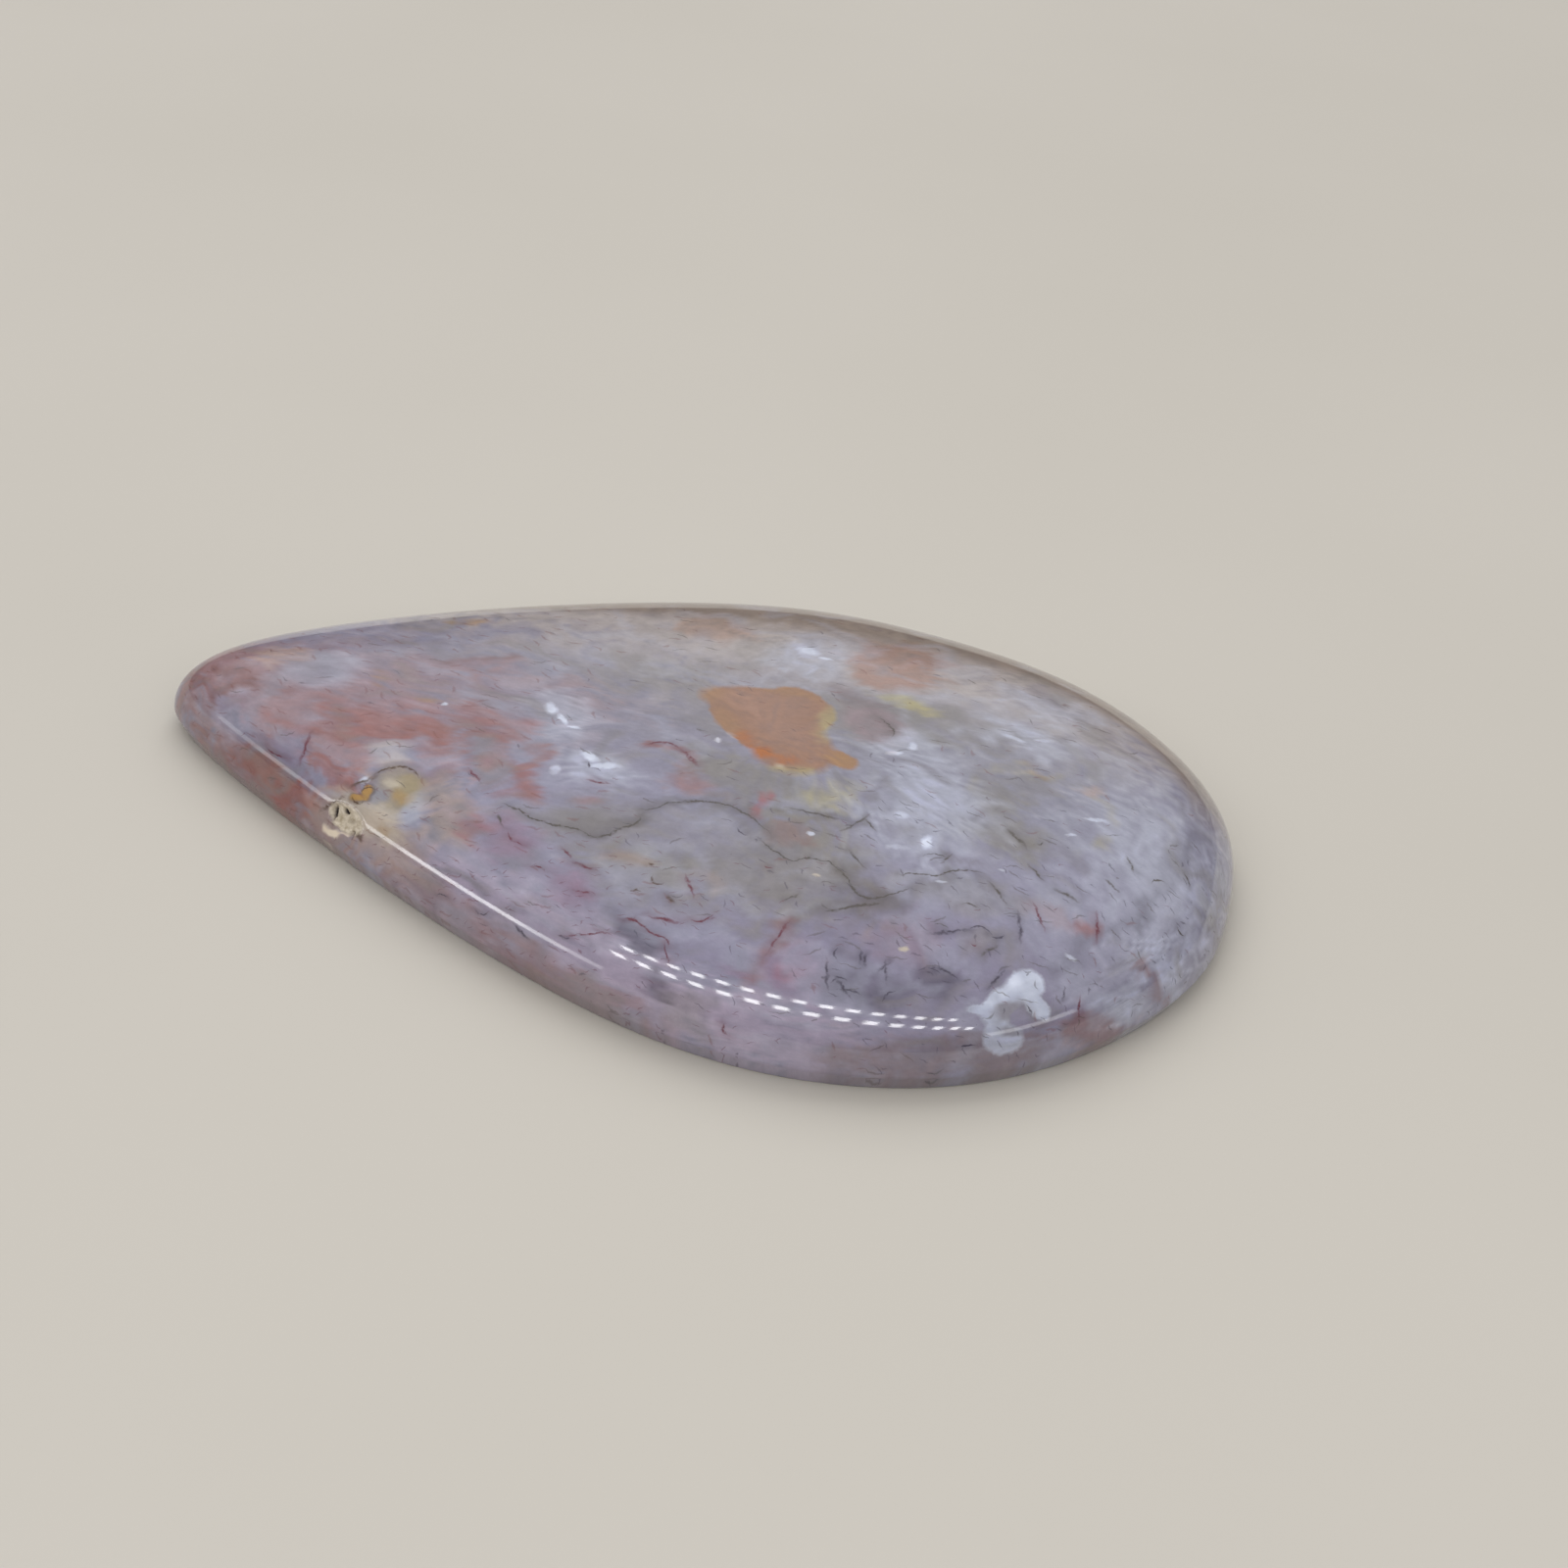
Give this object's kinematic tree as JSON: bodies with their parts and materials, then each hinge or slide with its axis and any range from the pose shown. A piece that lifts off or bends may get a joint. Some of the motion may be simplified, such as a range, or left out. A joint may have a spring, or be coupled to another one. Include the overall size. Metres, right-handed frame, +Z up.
{
  "type": "red moss agate cabochon",
  "caption": "Pear-shaped polished moss agate with a flat back and a low dome, cut to be set in a bezel as a pendant or brooch stone.",
  "frame": {"origin": "middle of the stone's bounding box on its flat back, z = 0", "axes": "+X along the stone from the narrow tip to the round end, +Z up out of the dome, square to the flat back"},
  "size_m": [0.045, 0.0294, 0.0052],
  "materials": {
    "moss_agate": "high polish over cloudy lavender-grey chalcedony, with one orange patch, red haze, and dark moss-like threads"
  },
  "bodies": {
    "root": {"cabochon": "moss_agate"}
  },
  "joints": []
}
